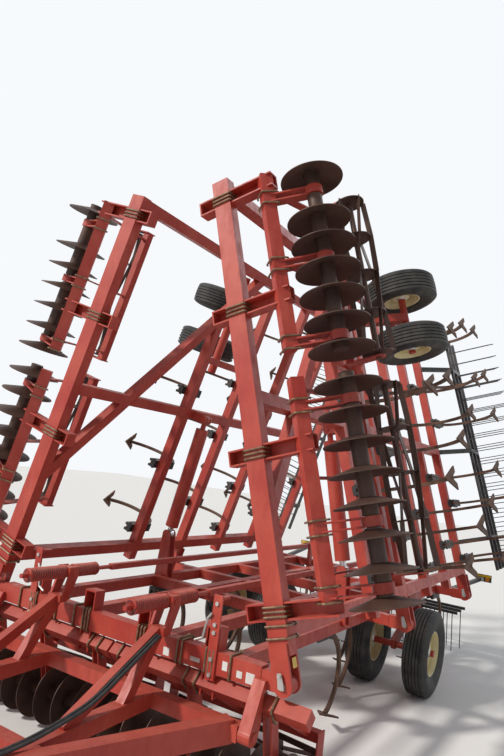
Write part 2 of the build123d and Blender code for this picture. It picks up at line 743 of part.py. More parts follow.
def fold_barrel():
    base, rod_end, d = cylinder_line()
    body = round_bar(base + d * BARREL_FROM, base + d * BARREL_TO, BARREL_R)
    body += round_bar(base + d * EYE_R * 0.5, base + d * (BARREL_FROM + 5), EYE_HALF)
    body += y_disc(base.X, base.Z, EYE_R, CYL_Y - EYE_HALF, CYL_Y + EYE_HALF)
    body -= y_disc(base.X, base.Z, EYE_PIN_R + PIN_FIT, CYL_Y - CLEVIS_GAP, CYL_Y + CLEVIS_GAP)
    bore_from = base + d * (BARREL_FROM + 40)
    return body - round_bar(bore_from, base + d * (BARREL_TO + 10), ROD_R + ROD_FIT)


def fold_rod():
    base, rod_end, d = cylinder_line()
    bar = round_bar(rod_end - d * ((rod_end - base).length - BARREL_TO + ROD_IN), rod_end - d * 20, ROD_R)
    bar += y_disc(rod_end.X, rod_end.Z, EYE_R, CYL_Y - EYE_HALF, CYL_Y + EYE_HALF)
    return bar + y_disc(rod_end.X, rod_end.Z, EYE_PIN_R, CYL_Y - EYE_HALF - 5, CYL_Y + EYE_HALF + 5)


# Tongue

def tongue_point(y):
    """The middle of the left long tube at this y."""
    x = TONGUE_PIN_X - BOOT_W / 2 - 10 - 90
    share = (TONGUE_PIN_Y - y) / (TONGUE_PIN_Y - TONGUE_FRONT_Y)
    return x - share * (x - TONGUE_FRONT_X), TONGUE_PIN_Z - share * (TONGUE_PIN_Z - TONGUE_FRONT_Z)


def tongue_tower():
    """Two legs and two cheeks that hold the trunnion of a levelling rod."""
    neck_y, neck_z = TOWER_NECK
    foot_z = tongue_point(TOWER_FOOT_Y)[1]
    front_y = CROSS_Y + 260
    parts = [square_bar((TOWER_X, TOWER_FOOT_Y, foot_z), (TOWER_X, neck_y, neck_z), 70, 80)]
    parts.append(square_bar((TOWER_X, front_y, tongue_point(front_y)[1] + 40), (TOWER_X, neck_y, neck_z), 70, 80))
    cheek = 75
    parts.append(block(TOWER_X - cheek, TOWER_X + cheek, neck_y - 20, neck_y + 60, neck_z - 20, neck_z + 35))
    for s in (-1, 1):
        x0 = min(TOWER_X + s * (cheek - 20), TOWER_X + s * cheek)
        with BuildSketch(Plane.YZ.offset(x0)) as outline:
            with BuildLine():
                Polyline((neck_y - 20, neck_z - 20), (neck_y + 60, neck_z - 20), (TRUNNION_Y + 50, TOWER_Z - 40),
                         (TRUNNION_Y + 50, TOWER_Z + 45), (TRUNNION_Y - 50, TOWER_Z + 45),
                         (TRUNNION_Y - 50, TOWER_Z - 40), close=True)
            make_face()
        parts.append(extrude(outline.sketch, 20))
    return join(parts) - x_disc(TRUNNION_Y, TOWER_Z, PIN_R + PIN_FIT, TOWER_X - cheek - 1, TOWER_X + cheek + 1)


def tongue_frame():
    half = TUBE / 2
    end = TONGUE_PIN_X - BOOT_W / 2 - 10
    z = TONGUE_PIN_Z
    parts = [block(-end, end, TONGUE_PIN_Y - half, TONGUE_PIN_Y + half, z - half, z + half)]
    side = [x_disc(TONGUE_PIN_Y, z, TONGUE_PIN_R, end - 20, TONGUE_PIN_X + BOOT_W / 2 + 12)]
    front = (TONGUE_FRONT_X, TONGUE_FRONT_Y, TONGUE_FRONT_Z)
    side.append(square_bar((end - 90, TONGUE_PIN_Y, z), front, TUBE, TONGUE_H))
    cross_x, cross_z = tongue_point(CROSS_Y)
    side.append(block(0, cross_x, CROSS_Y - half, CROSS_Y + half, cross_z - half, cross_z + half))
    side.append(square_bar((TOWER_X, TONGUE_PIN_Y, z), (TOWER_X, CROSS_Y, cross_z), TUBE, TUBE))
    side.append(tongue_tower())
    jack_x = TONGUE_FRONT_X + 170
    side.append(block(0, jack_x, JACK_Y + JACK_R, JACK_Y + JACK_R + 60, TONGUE_FRONT_Z - 30, TONGUE_FRONT_Z + 50))
    side.append(block(0, TONGUE_FRONT_X + 50, NOSE_Y, NOSE_Y + 100, TONGUE_FRONT_Z - half, TONGUE_FRONT_Z + half))
    side = join(side)
    return join(parts) + side + mirrored(side)


def hose(place):
    """One of the two hoses along the left long tube and up the tower's leg, made of runs and arcs."""
    lift = TONGUE_H / 2 + HOSE_R + HOSE_LIFT
    beside = (place - 0.5) * HOSE_GAP
    points = []
    for y, sway in ((-2300, 0), (-1900, 10), (-1500, 0)):
        x, z = tongue_point(y)
        points.append((x + beside + sway, y, z + lift))
    x = TOWER_X + HOSE_BESIDE + beside
    points += [(x - 4, -1230, 760), (x, -1000, 800), (x, -760, 852), (x, -480, 1010), (x, -190, 1165)]
    path = FilletPolyline(*points, radius=HOSE_BEND)
    start = Plane(origin=path @ 0, z_dir=path % 0)
    return sweep(start * Circle(HOSE_R), path=path)


def hitch():
    """The clevis at the tongue's nose, with an upright pin hole."""
    z = TONGUE_FRONT_Z
    nose = FRONT_TIP_Y + 60
    parts = [block(-TONGUE_FRONT_X - 50, TONGUE_FRONT_X + 50, NOSE_Y - 30, NOSE_Y, z - 60, z + 60)]
    for z0 in (z - 60, z + 35):
        parts.append(block(-60, 60, nose, NOSE_Y - 20, z0, z0 + 25))
        parts.append(Pos(0, nose, z0 + 12.5) * Cylinder(60, 25))
    return join(parts) - Pos(0, nose, z) * Cylinder(HITCH_R + HITCH_FIT, 200)


def jack_body():
    z = (JACK_TOP + JACK_BOTTOM) / 2
    tube = Pos(0, JACK_Y, z) * Cylinder(JACK_R, JACK_TOP - JACK_BOTTOM)
    tube -= Pos(0, JACK_Y, z - 40) * Cylinder(LEG_R + ROD_FIT, JACK_TOP - JACK_BOTTOM)
    return tube


def jack_leg():
    leg = Pos(0, JACK_Y, 310) * Cylinder(LEG_R, 620)
    return leg + block(-110, 110, JACK_Y - 110, JACK_Y + 110, 0, 14)


def spring(y, turns):
    """A close-wound spring round the levelling rod, as one turned solid along Y."""
    valley = SPRING_R - SPRING_WIRE * 0.4
    outline = [(valley, 0)]
    for i in range(turns):
        start = i * SPRING_PITCH
        outline.append((SPRING_R, start + SPRING_PITCH * 0.25))
        outline.append((SPRING_R, start + SPRING_PITCH * 0.75))
        outline.append((valley, start + SPRING_PITCH))
    outline.append((0, turns * SPRING_PITCH))
    outline.append((0, 0))
    with BuildSketch(Plane.XY) as profile:
        with BuildLine():
            Polyline(*outline, close=True)
        make_face()
    return Pos(TOWER_X, y, TOWER_Z) * revolve(profile.sketch, Axis.Y)


def lamp_arm():
    """The arm behind the last tube with the plate that carries lamp and reflectors."""
    wide, thick, high = LAMP_PLATE
    start = (LAMP_X - 250, SHANK_ROWS[-1] + TUBE / 2, FRAME_Z)
    bar = square_bar(start, (LAMP_X - 60, LAMP_Y, LAMP_Z - 30), LAMP_ARM, LAMP_ARM)
    bar -= block(0, HINGE_X, 0, SHANK_ROWS[-1] + TUBE, FRAME_Z - TUBE, FRAME_Z + TUBE)
    bar -= block(0, HINGE_X, LAMP_Y, LAMP_Y + TUBE, FRAME_Z, FRAME_Z + 2 * TUBE)
    return bar + block(LAMP_X - wide / 2, LAMP_X + wide / 2, LAMP_Y, LAMP_Y + thick, LAMP_Z - high / 2, LAMP_Z + high / 2)


def lamp():
    """A round lamp on the rear face of its plate, turned about Y."""
    x = LAMP_X + LAMP_PLATE[0] / 2 - LAMP_R - 10
    back = LAMP_Y + LAMP_PLATE[1]
    lens = y_disc(x, LAMP_Z, LAMP_R, back, back + LAMP_T)
    return chamfer(lens.edges().group_by(Axis.Y)[-1], 10)


def levelling_rods():
    """Spring rods that reach from the tongue's towers to the rockshaft's levers."""
    z = TOWER_Z
    parts = [block(TOWER_X - 48, TOWER_X + 48, TRUNNION_Y - 45, TRUNNION_Y + 45, z - 40, z + 40)]
    parts.append(spring(TRUNNION_Y - 45 - SPRING_TURNS[0] * SPRING_PITCH, SPRING_TURNS[0]))
    parts.append(spring(TRUNNION_Y + 45, SPRING_TURNS[1]))
    parts.append(round_bar((TOWER_X, TRUNNION_Y - 480, z), (TOWER_X, TRUNNION_Y + 520, z), 18))
    parts.append(x_disc(TRUNNION_Y, z, PIN_R, TOWER_X - 82, TOWER_X + 82))
    parts.append(block(TOWER_X - 25, TOWER_X + 25, TRUNNION_Y + 500, ROCK_Y - 90, z - 25, z + 25))
    parts.append(block(TOWER_X - 40, TOWER_X + 40, ROCK_Y - 110, ROCK_Y - 80, z - 30, z + 30))
    for s in (-1, 1):
        x0, x1 = sorted((TOWER_X + s * 28, TOWER_X + s * 40))
        parts.append(block(x0, x1, ROCK_Y - 85, ROCK_Y, z - 30, z + 30))
        parts.append(x_disc(ROCK_Y, z, 30, x0, x1))
    eye = x_disc(ROCK_Y, z, ROD_PIN_R + ROD_EYE_FREE, TOWER_X - 50, TOWER_X + 50)
    return join(parts) - eye


# The pieces, by name

keep("centre_cross_tubes", raise_centre(centre_cross_tubes()))
keep("centre_rails", raise_centre(centre_rails()))
keep("centre_lugs", raise_centre(centre_lugs()))
centre_carrier = gang_carrier(["centre"], CENTRE_BRACKETS_X) + post_plate()
keep("centre_gang_carriers", raise_centre(both_sides([centre_carrier])))
keep("centre_shanks", raise_centre(along_rows(shank, CENTRE_SHANKS, two_sides=True)))
keep("centre_shank_mounts", raise_centre(along_rows(shank_mount, CENTRE_SHANKS, two_sides=True)))
keep("centre_harrow", raise_centre(harrow(-CENTRE_HARROW_HALF, CENTRE_HARROW_HALF, CENTRE_ARMS_X)))
keep("lamp_arms", both_sides([lamp_arm()]))
keep("lamps", both_sides([lamp()]))
keep_pair("centre_gang", Pos(0, GANG_Y, FRAME_Z - GANG_DROP) * gang(*GANGS["centre"][:2]))
keep_pair("centre_reel", Pos(0, REEL_Y, FRAME_Z - REEL_DROP) * reel(*REELS["centre"]))
keep("lift_axle", raise_centre(lift_axle()))
spots = [Pos(x, AXLE_Y, BIG_TYRE[0] / 2) for x in WHEELS_X]
keep_pair("wheel_tyres", Compound(children=[s * tyre(BIG_TYRE) for s in spots]))
keep_pair("wheel_rims", Compound(children=[s * rim(BIG_TYRE, 60) for s in spots]))

keep_pair("wing_cross_tubes", fold(wing_cross_tubes()))
keep_pair("wing_rails", fold(wing_rails()))
keep_pair("wing_brace", fold(wing_brace()))
keep_pair("wing_hinge_plates", fold(wing_hinge_plates()))
pins = [y_disc(0, 0, PIN_R, y - PLATE - 12, y + TUBE + PLATE + 12) for y in HINGE_ROWS]
keep_pair("wing_pins", fold(Compound(children=pins)))
keep_pair("wing_gang_carrier", fold(gang_carrier(["inner", "outer"], BRACKETS_T)))
for name in ("inner", "outer"):
    keep_pair("wing_gang_" + name, fold(Pos(0, GANG_Y, -GANG_DROP) * gang(*GANGS[name][:2])))
    keep_pair("wing_reel_" + name, fold(Pos(0, REEL_Y, -REEL_DROP) * reel(*REELS[name])))
keep_pair("wing_shanks", fold(along_rows(shank, WING_SHANKS)))
keep_pair("wing_shank_mounts", fold(along_rows(shank_mount, WING_SHANKS)))
keep_pair("wing_harrow", fold(harrow(240, WING_LENGTH - 40, WING_ARMS_T)))
keep_pair("wing_axle", fold(wing_axle()))
wing_drop = FRAME_Z - WING_TYRE[0] / 2
wheel_spots = [Pos(t, WING_AXLE_Y, -wing_drop) for t in WING_WHEELS_T]
keep_pair("wing_tyres", fold(Compound(children=[s * tyre(WING_TYRE) for s in wheel_spots])))
keep_pair("wing_rims", fold(Compound(children=[s * rim(WING_TYRE, 60) for s in wheel_spots])))
keep_pair("fold_barrel", fold(fold_barrel()))
keep_pair("fold_rod", fold(fold_rod()))

keep("tongue_frame", tongue_frame())
keep("hitch", hitch())
keep("jack_body", jack_body())
keep("jack_leg", jack_leg())
keep("tongue_hoses", Compound(children=[hose(0), hose(1)]))
rods = levelling_rods()
keep("levelling_rods", Compound(children=[rods, mirrored(rods)]))

os.makedirs("parts", exist_ok=True)
for name, shape in pieces.items():
    export_step(Pos(0, Y_SHIFT, 0) * shape, f"parts/{name}.step")
base, rod_end, direction = cylinder_line()
print("nodes", len(pieces), "Y shift", Y_SHIFT, "cylinder", (rod_end - base).length)
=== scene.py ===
import json
from math import cos, pi, radians, sin

import bpy
import bmesh
from mathutils import Matrix, Vector


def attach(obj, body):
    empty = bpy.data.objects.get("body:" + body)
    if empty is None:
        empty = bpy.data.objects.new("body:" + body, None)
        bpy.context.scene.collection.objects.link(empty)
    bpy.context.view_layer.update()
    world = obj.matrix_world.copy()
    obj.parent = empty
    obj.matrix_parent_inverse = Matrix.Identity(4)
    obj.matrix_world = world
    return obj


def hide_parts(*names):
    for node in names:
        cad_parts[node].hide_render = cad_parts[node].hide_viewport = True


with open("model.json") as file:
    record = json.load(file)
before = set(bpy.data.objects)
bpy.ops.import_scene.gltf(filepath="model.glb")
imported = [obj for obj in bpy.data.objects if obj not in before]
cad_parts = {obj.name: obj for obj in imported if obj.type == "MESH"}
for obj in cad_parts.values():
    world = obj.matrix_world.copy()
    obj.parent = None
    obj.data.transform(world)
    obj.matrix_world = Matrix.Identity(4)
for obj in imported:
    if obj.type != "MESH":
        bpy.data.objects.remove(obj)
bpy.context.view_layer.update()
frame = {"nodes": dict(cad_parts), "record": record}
scene = bpy.context.scene
scene.view_settings.view_transform = "Standard"

# Sizes shared with the solids, in metres
FRONT_Y = -1.829         # front face of the front tubes
HINGE_X = 1.555
HINGE_Z = 1.040
FOLD = radians(106.5)
TUBE = 0.102
FRONT_H = 0.152
SIDES = (("left", 1), ("right", -1))
HANGERS = (0.691, 1.119, 1.975, 2.459, 3.101, 3.690)     # discs that bearings stand behind
CENTRE_HANGERS = (0.320, 0.962, 1.604)
BEAM_Y = 0.051
HANGER_BACK = 0.155
BEAM_DROP = 0.394
CENTRE_BEAM_DROP = 0.172
BRACKETS_T = (0.460, 1.556, 2.700, 3.700)
CENTRE_BRACKETS_X = (0.300, 0.950)
HINGE_ROWS = (0.0, 2.6, 5.24)
SHANK_ROWS = (1.72, 2.6, 3.48, 4.36, 5.24)
WING_SHANKS = ((0.520, 1.320, 2.240), (0.860, 1.780, 2.480), (0.480, 1.100, 2.200, 3.300),
               (0.700, 1.560, 2.800, 3.600), (0.480, 1.240, 2.420, 3.020, 3.740))
CENTRE_SHANKS = ((0.2, 1.0), (0.0, 0.76), (0.38,), (0.12, 0.93), (0.52, 1.1))
BIG_TYRE = (0.490, 0.145, 0.255)       # radius, half width, rim radius
WING_TYRE = (0.3885, 0.1395, 0.200)
WHEELS_X = (0.700, 1.400)
AXLE_Y = 3.971
WING_WHEELS_T = (2.850, 3.450)
WING_AXLE_Y = 2.560
POST_X = 0.970
POST_T = 0.014
ROD_X = 0.550
ROD_Y = -0.040
ROD_Z = 1.380
SPRING_END = 0.045       # from the rod's trunnion to the springs on either side
SPRING_PITCH = 0.022
SPRING_TURNS = (17, 12)
LAMP_X = 1.545
LAMP_Y = 6.560
LAMP_Z = 1.150
TONGUE_TUBE = ((1.240, -0.105, 0.710), (0.120, -2.500, 0.600))     # ends of its left long tube
HOSE_R = 0.012

# Fasteners, bare plates and springs that are added here
BAND_R = 0.0085          # bolts bent round the front tubes
BAND_SPREAD = (-0.032, 0.0, 0.032)
SINGLE_BANDS_T = (0.290, 0.370)
SINGLE_BANDS_X = (0.440, 0.660, 0.700, 1.130)
BEAM_BOLT_R = 0.008
BEAM_BOLT_SPREAD = (-0.050, 0.050)
MOUNT_BOLTS_Y = (-0.035, 0.14, 0.27)
MOUNT_BOLT_OUT = 0.045
MOUNT_BOLT_Z = -0.085
POST_BOLTS_Z = (-0.085, 0.020, 0.200, 0.255, 0.400)
LOCK_BAR_R = 0.009
PLATE_T = 0.002
# x from, x to, z from, z to on the centre's front tube
BARE_PLATES = ((0.530, 0.585, -0.062, -0.005), (1.062, 1.105, -0.030, 0.030),
               (1.185, 1.230, -0.045, 0.000), (1.262, 1.330, -0.060, 0.010))
BARE_TAG = (0.782, 0.868, -0.036, -0.006)
COIL_R = 0.048
COIL_WIRE_R = 0.0075
COIL_STEPS = 18
# Radius of the dark sleeve inside each spring: painted shade seen between the coils
SHADE_SLEEVE_R = 0.0492
CAP_R = 0.0565
CAP_T = 0.008
CAP_IN = 0.002
FLOOR_REACH = 40.0

# Camera, at the place and angle found for the photograph
camera_data = bpy.data.cameras.new("camera")
camera = bpy.data.objects.new("camera", camera_data)
scene.collection.objects.link(camera)
scene.camera = camera
camera_data.sensor_fit = "VERTICAL"
camera_data.sensor_height = 36.0
camera_data.lens = 29.1
camera_data.clip_start = 0.05
camera_data.clip_end = 100.0
right = Vector((0.8466, 0.5183, 0.121)).normalized()
forward = Vector((-0.5315, 0.8355, 0.1395)).normalized()
up = right.cross(forward).normalized()
right = forward.cross(up).normalized()
turn = Matrix((right, up, -forward)).transposed().to_4x4()
camera.matrix_world = Matrix.Translation((3.461, FRONT_Y - 3.845, 2.450)) @ turn


# Materials

def new_material(name):
    mat = bpy.data.materials.new(name)
    mat.use_nodes = True
    tree = mat.node_tree
    return mat, tree, tree.nodes["Principled BSDF"]


def link(tree, a, out, b, into):
    tree.links.new(a.outputs[out], b.inputs[into])


def noise(tree, scale, detail=4.0, rough=0.55, stretch=(1, 1, 1)):
    coord = tree.nodes.new("ShaderNodeTexCoord")
    mapping = tree.nodes.new("ShaderNodeMapping")
    mapping.inputs["Scale"].default_value = stretch
    tex = tree.nodes.new("ShaderNodeTexNoise")
    tex.inputs["Scale"].default_value = scale
    tex.inputs["Detail"].default_value = detail
    tex.inputs["Roughness"].default_value = rough
    link(tree, coord, "Object", mapping, "Vector")
    link(tree, mapping, "Vector", tex, "Vector")
    return tex


def ramp(tree, source, out, stops):
    node = tree.nodes.new("ShaderNodeValToRGB")
    while len(node.color_ramp.elements) < len(stops):
        node.color_ramp.elements.new(0.5)
    for element, (place, value) in zip(node.color_ramp.elements, stops):
        element.position = place
        element.color = value if len(value) == 4 else (*value, 1)
    link(tree, source, out, node, "Fac")
    return node


def grey(v):
    return (v, v, v, 1)


def mix(tree, fac, a, b):
    node = tree.nodes.new("ShaderNodeMix")
    node.data_type = "RGBA"
    for socket, value in ((0, fac), (6, a), (7, b)):
        if isinstance(value, (tuple, list, float, int)):
            if socket == 0:
                node.inputs[0].default_value = value
            else:
                node.inputs[socket].default_value = value if len(value) == 4 else (*value, 1)
        else:
            tree.links.new(value, node.inputs[socket])
    return node.outputs[2]


def bump(tree, shader, source, strength, distance=0.002):
    node = tree.nodes.new("ShaderNodeBump")
    node.inputs["Strength"].default_value = strength
    node.inputs["Distance"].default_value = distance
    tree.links.new(source, node.inputs["Height"])
    link(tree, node, "Normal", shader, "Normal")


def upward(tree, low, high):
    """1 on faces that look up, 0 on the others."""
    geo = tree.nodes.new("ShaderNodeNewGeometry")
    split = tree.nodes.new("ShaderNodeSeparateXYZ")
    link(tree, geo, "Normal", split, "Vector")
    return ramp(tree, split, "Z", [(low, grey(0)), (high, grey(1))]).outputs["Color"]


def painted(name, colour, faded, chips=0.5, dust=0.35, rough=0.45):
    """Old paint: faded in clouds, chipped to brown primer in spots, dusty on top."""
    mat, tree, shader = new_material(name)
    clouds = noise(tree, 2.3, 5.0, 0.6)
    cloud = ramp(tree, clouds, "Fac", [(0.35, grey(0)), (0.7, grey(1))])
    base = mix(tree, cloud.outputs["Color"], colour, faded)
    streaks = noise(tree, 14.0, 6.0, 0.65, (1, 1, 0.3))
    streak = ramp(tree, streaks, "Fac", [(0.45, grey(0)), (0.75, grey(0.35))])
    base = mix(tree, streak.outputs["Color"], base, [c * 0.55 for c in colour])
    spots = noise(tree, 38.0, 8.0, 0.7)
    spot = ramp(tree, spots, "Fac", [(0.66 - 0.04 * chips, grey(0)), (0.70, grey(1))])
    base = mix(tree, spot.outputs["Color"], base, (0.12, 0.055, 0.035))
    film = tree.nodes.new("ShaderNodeMath")
    film.operation = "MULTIPLY"
    tree.links.new(upward(tree, 0.35, 1.0), film.inputs[0])
    patch = ramp(tree, noise(tree, 5.0, 6.0, 0.6), "Fac", [(0.3, grey(0.3)), (0.7, grey(1))])
    tree.links.new(patch.outputs["Color"], film.inputs[1])
    scaled = tree.nodes.new("ShaderNodeMath")
    scaled.operation = "MULTIPLY"
    scaled.inputs[1].default_value = dust
    link(tree, film, "Value", scaled, 0)
    base = mix(tree, scaled.outputs["Value"], base, (0.46, 0.36, 0.27))
    tree.links.new(base, shader.inputs["Base Color"])
    gloss = ramp(tree, streaks, "Fac", [(0.3, grey(rough - 0.1)), (0.8, grey(rough + 0.25))])
    link(tree, gloss, "Color", shader, "Roughness")
    bump(tree, shader, spots.outputs["Fac"], 0.12, 0.001)
    return mat


def rusty(name, dark, light, rough=0.7, scale=9.0, strength=0.35):
    """Bare steel browned by rust, in clouds and fine grain."""
    mat, tree, shader = new_material(name)
    clouds = noise(tree, scale, 7.0, 0.65)
    tone = ramp(tree, clouds, "Fac", [(0.32, dark), (0.68, light)])
    grain = noise(tree, 120.0, 6.0, 0.7)
    speck = ramp(tree, grain, "Fac", [(0.45, grey(0)), (0.72, grey(0.6))])
    base = mix(tree, speck.outputs["Color"], tone.outputs["Color"], [c * 0.5 for c in dark])
    tree.links.new(base, shader.inputs["Base Color"])
    gloss = ramp(tree, clouds, "Fac", [(0.3, grey(rough - 0.18)), (0.7, grey(rough + 0.1))])
    link(tree, gloss, "Color", shader, "Roughness")
    shader.inputs["Metallic"].default_value = 0.35
    bump(tree, shader, grain.outputs["Fac"], strength, 0.0015)
    return mat


def rubber(name, base, dust, rough=0.75, scale=6.0):
    mat, tree, shader = new_material(name)
    clouds = noise(tree, scale, 6.0, 0.65)
    tone = ramp(tree, clouds, "Fac", [(0.4, base), (0.75, dust)])
    link(tree, tone, "Color", shader, "Base Color")
    fine = noise(tree, 160.0, 4.0, 0.6)
    bump(tree, shader, fine.outputs["Fac"], 0.2, 0.0008)
    shader.inputs["Roughness"].default_value = rough
    return mat


def metal(name, colour, rough, scale=60.0):
    mat, tree, shader = new_material(name)
    grain = noise(tree, scale, 5.0, 0.6, (1, 1, 0.15))
    tone = ramp(tree, grain, "Fac", [(0.35, [c * 0.72 for c in colour]), (0.7, colour)])
    link(tree, tone, "Color", shader, "Base Color")
    shader.inputs["Metallic"].default_value = 0.9
    gloss = ramp(tree, grain, "Fac", [(0.3, grey(rough)), (0.8, grey(rough + 0.2))])
    link(tree, gloss, "Color", shader, "Roughness")
    bump(tree, shader, grain.outputs["Fac"], 0.1, 0.0006)
    return mat


def lens(name, colour):
    """Moulded prisms under a clear face."""
    mat, tree, shader = new_material(name)
    coord = tree.nodes.new("ShaderNodeTexCoord")
    prisms = tree.nodes.new("ShaderNodeTexVoronoi")
    prisms.inputs["Scale"].default_value = 160.0
    link(tree, coord, "Object", prisms, "Vector")
    tone = ramp(tree, prisms, "Distance", [(0.1, colour), (0.7, [c * 0.6 for c in colour])])
    link(tree, tone, "Color", shader, "Base Color")
    shader.inputs["Roughness"].default_value = 0.22
    bump(tree, shader, prisms.outputs["Distance"], 0.4, 0.001)
    return mat


looks = {
    "red_paint": painted("red_paint", (0.36, 0.026, 0.015), (0.47, 0.072, 0.044), 0.7, 0.14),
    "worn_steel": rusty("worn_steel", (0.055, 0.032, 0.024), (0.20, 0.105, 0.065)),
    "disc_steel": rusty("disc_steel", (0.050, 0.027, 0.021), (0.115, 0.058, 0.040), 0.6, 5.0, 0.25),
    "black_paint": painted("black_paint", (0.018, 0.018, 0.02), (0.035, 0.033, 0.033), 0.6, 0.25, 0.5),
    "tyre_rubber": rubber("tyre_rubber", (0.018, 0.018, 0.019), (0.075, 0.068, 0.058)),
    "rim_paint": painted("rim_paint", (0.72, 0.62, 0.33), (0.78, 0.70, 0.46), 0.6, 0.3, 0.4),
    "pin_steel": metal("pin_steel", (0.52, 0.47, 0.38), 0.35),
    "rod_chrome": metal("rod_chrome", (0.72, 0.73, 0.74), 0.12),
    "hose_rubber": rubber("hose_rubber", (0.012, 0.012, 0.013), (0.05, 0.047, 0.043), 0.55, 20.0),
    "amber_lens": lens("amber_lens", (0.80, 0.27, 0.02)),
}
plate_looks = {
    "zinc": metal("zinc", (0.62, 0.61, 0.58), 0.38, 30.0),
    "white": painted("white_plate", (0.74, 0.74, 0.72), (0.66, 0.65, 0.62), 0.3, 0.2, 0.4),
    "yellow": lens("yellow_strip", (0.85, 0.55, 0.03)),
    "brown": rusty("brown_bolts", (0.10, 0.055, 0.032), (0.34, 0.22, 0.13), 0.5, 30.0, 0.3),
    "dark": rusty("dark_bolts", (0.020, 0.018, 0.017), (0.075, 0.052, 0.040), 0.6, 30.0, 0.3),
}

slot_of = {row["node"]: row["material_slot"] for row in frame["record"]["subparts"]}
for name, obj in frame["nodes"].items():
    look = looks[slot_of[name]]
    if obj.data.materials:
        for i in range(len(obj.data.materials)):
            obj.data.materials[i] = look
    else:
        obj.data.materials.append(look)


# Added pieces: places are given in the frame of a wing or of the centre

def machine(x=0.0, z=0.0):
    """The centre's frame: X, then Y from the front tube's face, then Z from the given height."""
    return Matrix.Translation((x, FRONT_Y, z))


def wing(s):
    """A wing's frame: X along the wing from the hinge, Y from the front tube's face, Z up when level."""
    x_axis = Vector((s * cos(FOLD), 0, sin(FOLD)))
    z_axis = Vector((-s * sin(FOLD), 0, cos(FOLD)))
    turn = Matrix((x_axis, Vector((0, 1, 0)), z_axis)).transposed().to_4x4()
    return Matrix.Translation((s * HINGE_X, FRONT_Y, HINGE_Z)) @ turn


def box(bm, place, low, high):
    """A plain plate between two corners."""
    corners = [bm.verts.new(place @ Vector((x, y, z))) for x in (low[0], high[0]) for y in (low[1], high[1])
               for z in (low[2], high[2])]
    for face in ((0, 1, 3, 2), (4, 6, 7, 5), (0, 4, 5, 1), (2, 3, 7, 6), (0, 2, 6, 4), (1, 5, 7, 3)):
        bm.faces.new([corners[i] for i in face])


def bar(bm, place, points, r, sides=8):
    """A round bar along straight runs, mitred where they meet."""
    points = [Vector(p) for p in points]
    rings = []
    for i, p in enumerate(points):
        before = (p - points[i - 1]).normalized() if i else None
        after = (points[i + 1] - p).normalized() if i < len(points) - 1 else None
        along = ((before or after) + (after or before)).normalized()
        stretch = 1.0 / max(0.5, along.dot(after or before))
        if i == 0:
            side = along.orthogonal().normalized()
        side = (side - along * side.dot(along)).normalized()
        other = along.cross(side)
        bend = (after - before) if before and after else Vector()
        bend = (bend - along * bend.dot(along))
        ring = []
        for k in range(sides):
            a = 2 * pi * k / sides
            offset = side * (r * cos(a)) + other * (r * sin(a))
            if bend.length > 1e-6:
                b = bend.normalized()
                offset += b * offset.dot(b) * (stretch - 1)
            ring.append(bm.verts.new(place @ (p + offset)))
        rings.append(ring)
    for a, b in zip(rings, rings[1:]):
        for k in range(sides):
            bm.faces.new((a[k], a[(k + 1) % sides], b[(k + 1) % sides], b[k]))
    bm.faces.new(rings[0])
    bm.faces.new(rings[-1])


def prism(bm, place, middle, axis, r, height, sides=6, taper=1.0):
    """A nut, bolt head or round plate that stands on its middle along the axis."""
    axis = Vector(axis).normalized()
    side = axis.orthogonal().normalized()
    other = axis.cross(side)
    middle = Vector(middle)
    rings = []
    for h, k in ((0.0, 1.0), (height, taper)):
        rings.append([bm.verts.new(place @ (middle + axis * h + (side * cos(a) + other * sin(a)) * r * k))
                      for a in [2 * pi * i / sides for i in range(sides)]])
    for k in range(sides):
        bm.faces.new((rings[0][k], rings[0][(k + 1) % sides], rings[1][(k + 1) % sides], rings[1][k]))
    bm.faces.new(rings[0])
    bm.faces.new(rings[1])


def polygon(bm, place, outline, y0, y1):
    """A flat plate with this outline in X and Z, from y0 to y1."""
    rings = [[bm.verts.new(place @ Vector((x, y, z))) for x, z in outline] for y in (y0, y1)]
    n = len(outline)
    for k in range(n):
        bm.faces.new((rings[0][k], rings[0][(k + 1) % n], rings[1][(k + 1) % n], rings[1][k]))
    bm.faces.new(rings[0])
    bm.faces.new(rings[1])


def piece(name, bm, body, look, smooth=False):
    """Turns a mesh into an object that rides on a body and takes its finish from a slot."""
    bmesh.ops.recalc_face_normals(bm, faces=bm.faces)
    mesh = bpy.data.meshes.new(name)
    bm.to_mesh(mesh)
    bm.free()
    obj = bpy.data.objects.new(name, mesh)
    scene.collection.objects.link(obj)
    mesh.materials.append(look)
    for face in mesh.polygons:
        face.use_smooth = smooth
    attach(obj, body)
    return obj


def u_bolt(bm, place, x):
    """A bolt bent round a front tube, with nuts behind the bracket."""
    up = FRONT_H / 2 + 0.009
    back = TUBE + 0.012
    bar(bm, place, [(x, back + 0.022, up), (x, -0.001, up), (x, -0.009, up - 0.008), (x, -0.009, 0.008 - up),
                    (x, -0.001, -up), (x, back + 0.022, -up)], BAND_R)
    for z in (up, -up):
        prism(bm, place, (x, back, z), (0, 1, 0), 0.017, 0.014)


def beam_bolt(bm, place, x, drop):
    """A bolt bent round the front of a square beam that is set on edge."""
    bar(bm, place, [(x, BEAM_Y + 0.012, 0.093 - drop), (x, BEAM_Y - 0.006, 0.087 - drop),
                    (x, BEAM_Y - 0.080, 0.006 - drop), (x, BEAM_Y - 0.080, -0.006 - drop),
                    (x, BEAM_Y - 0.006, -0.087 - drop), (x, BEAM_Y + 0.012, -0.093 - drop)], BEAM_BOLT_R)


def mount_bolts(bm, place, x, y):
    """Bolt heads on both cheeks of a shank's mount."""
    for dy in MOUNT_BOLTS_Y:
        for k in (-1, 1):
            prism(bm, place, (x + k * MOUNT_BOLT_OUT, y + dy, MOUNT_BOLT_Z), (k, 0, 0), 0.014, 0.012)


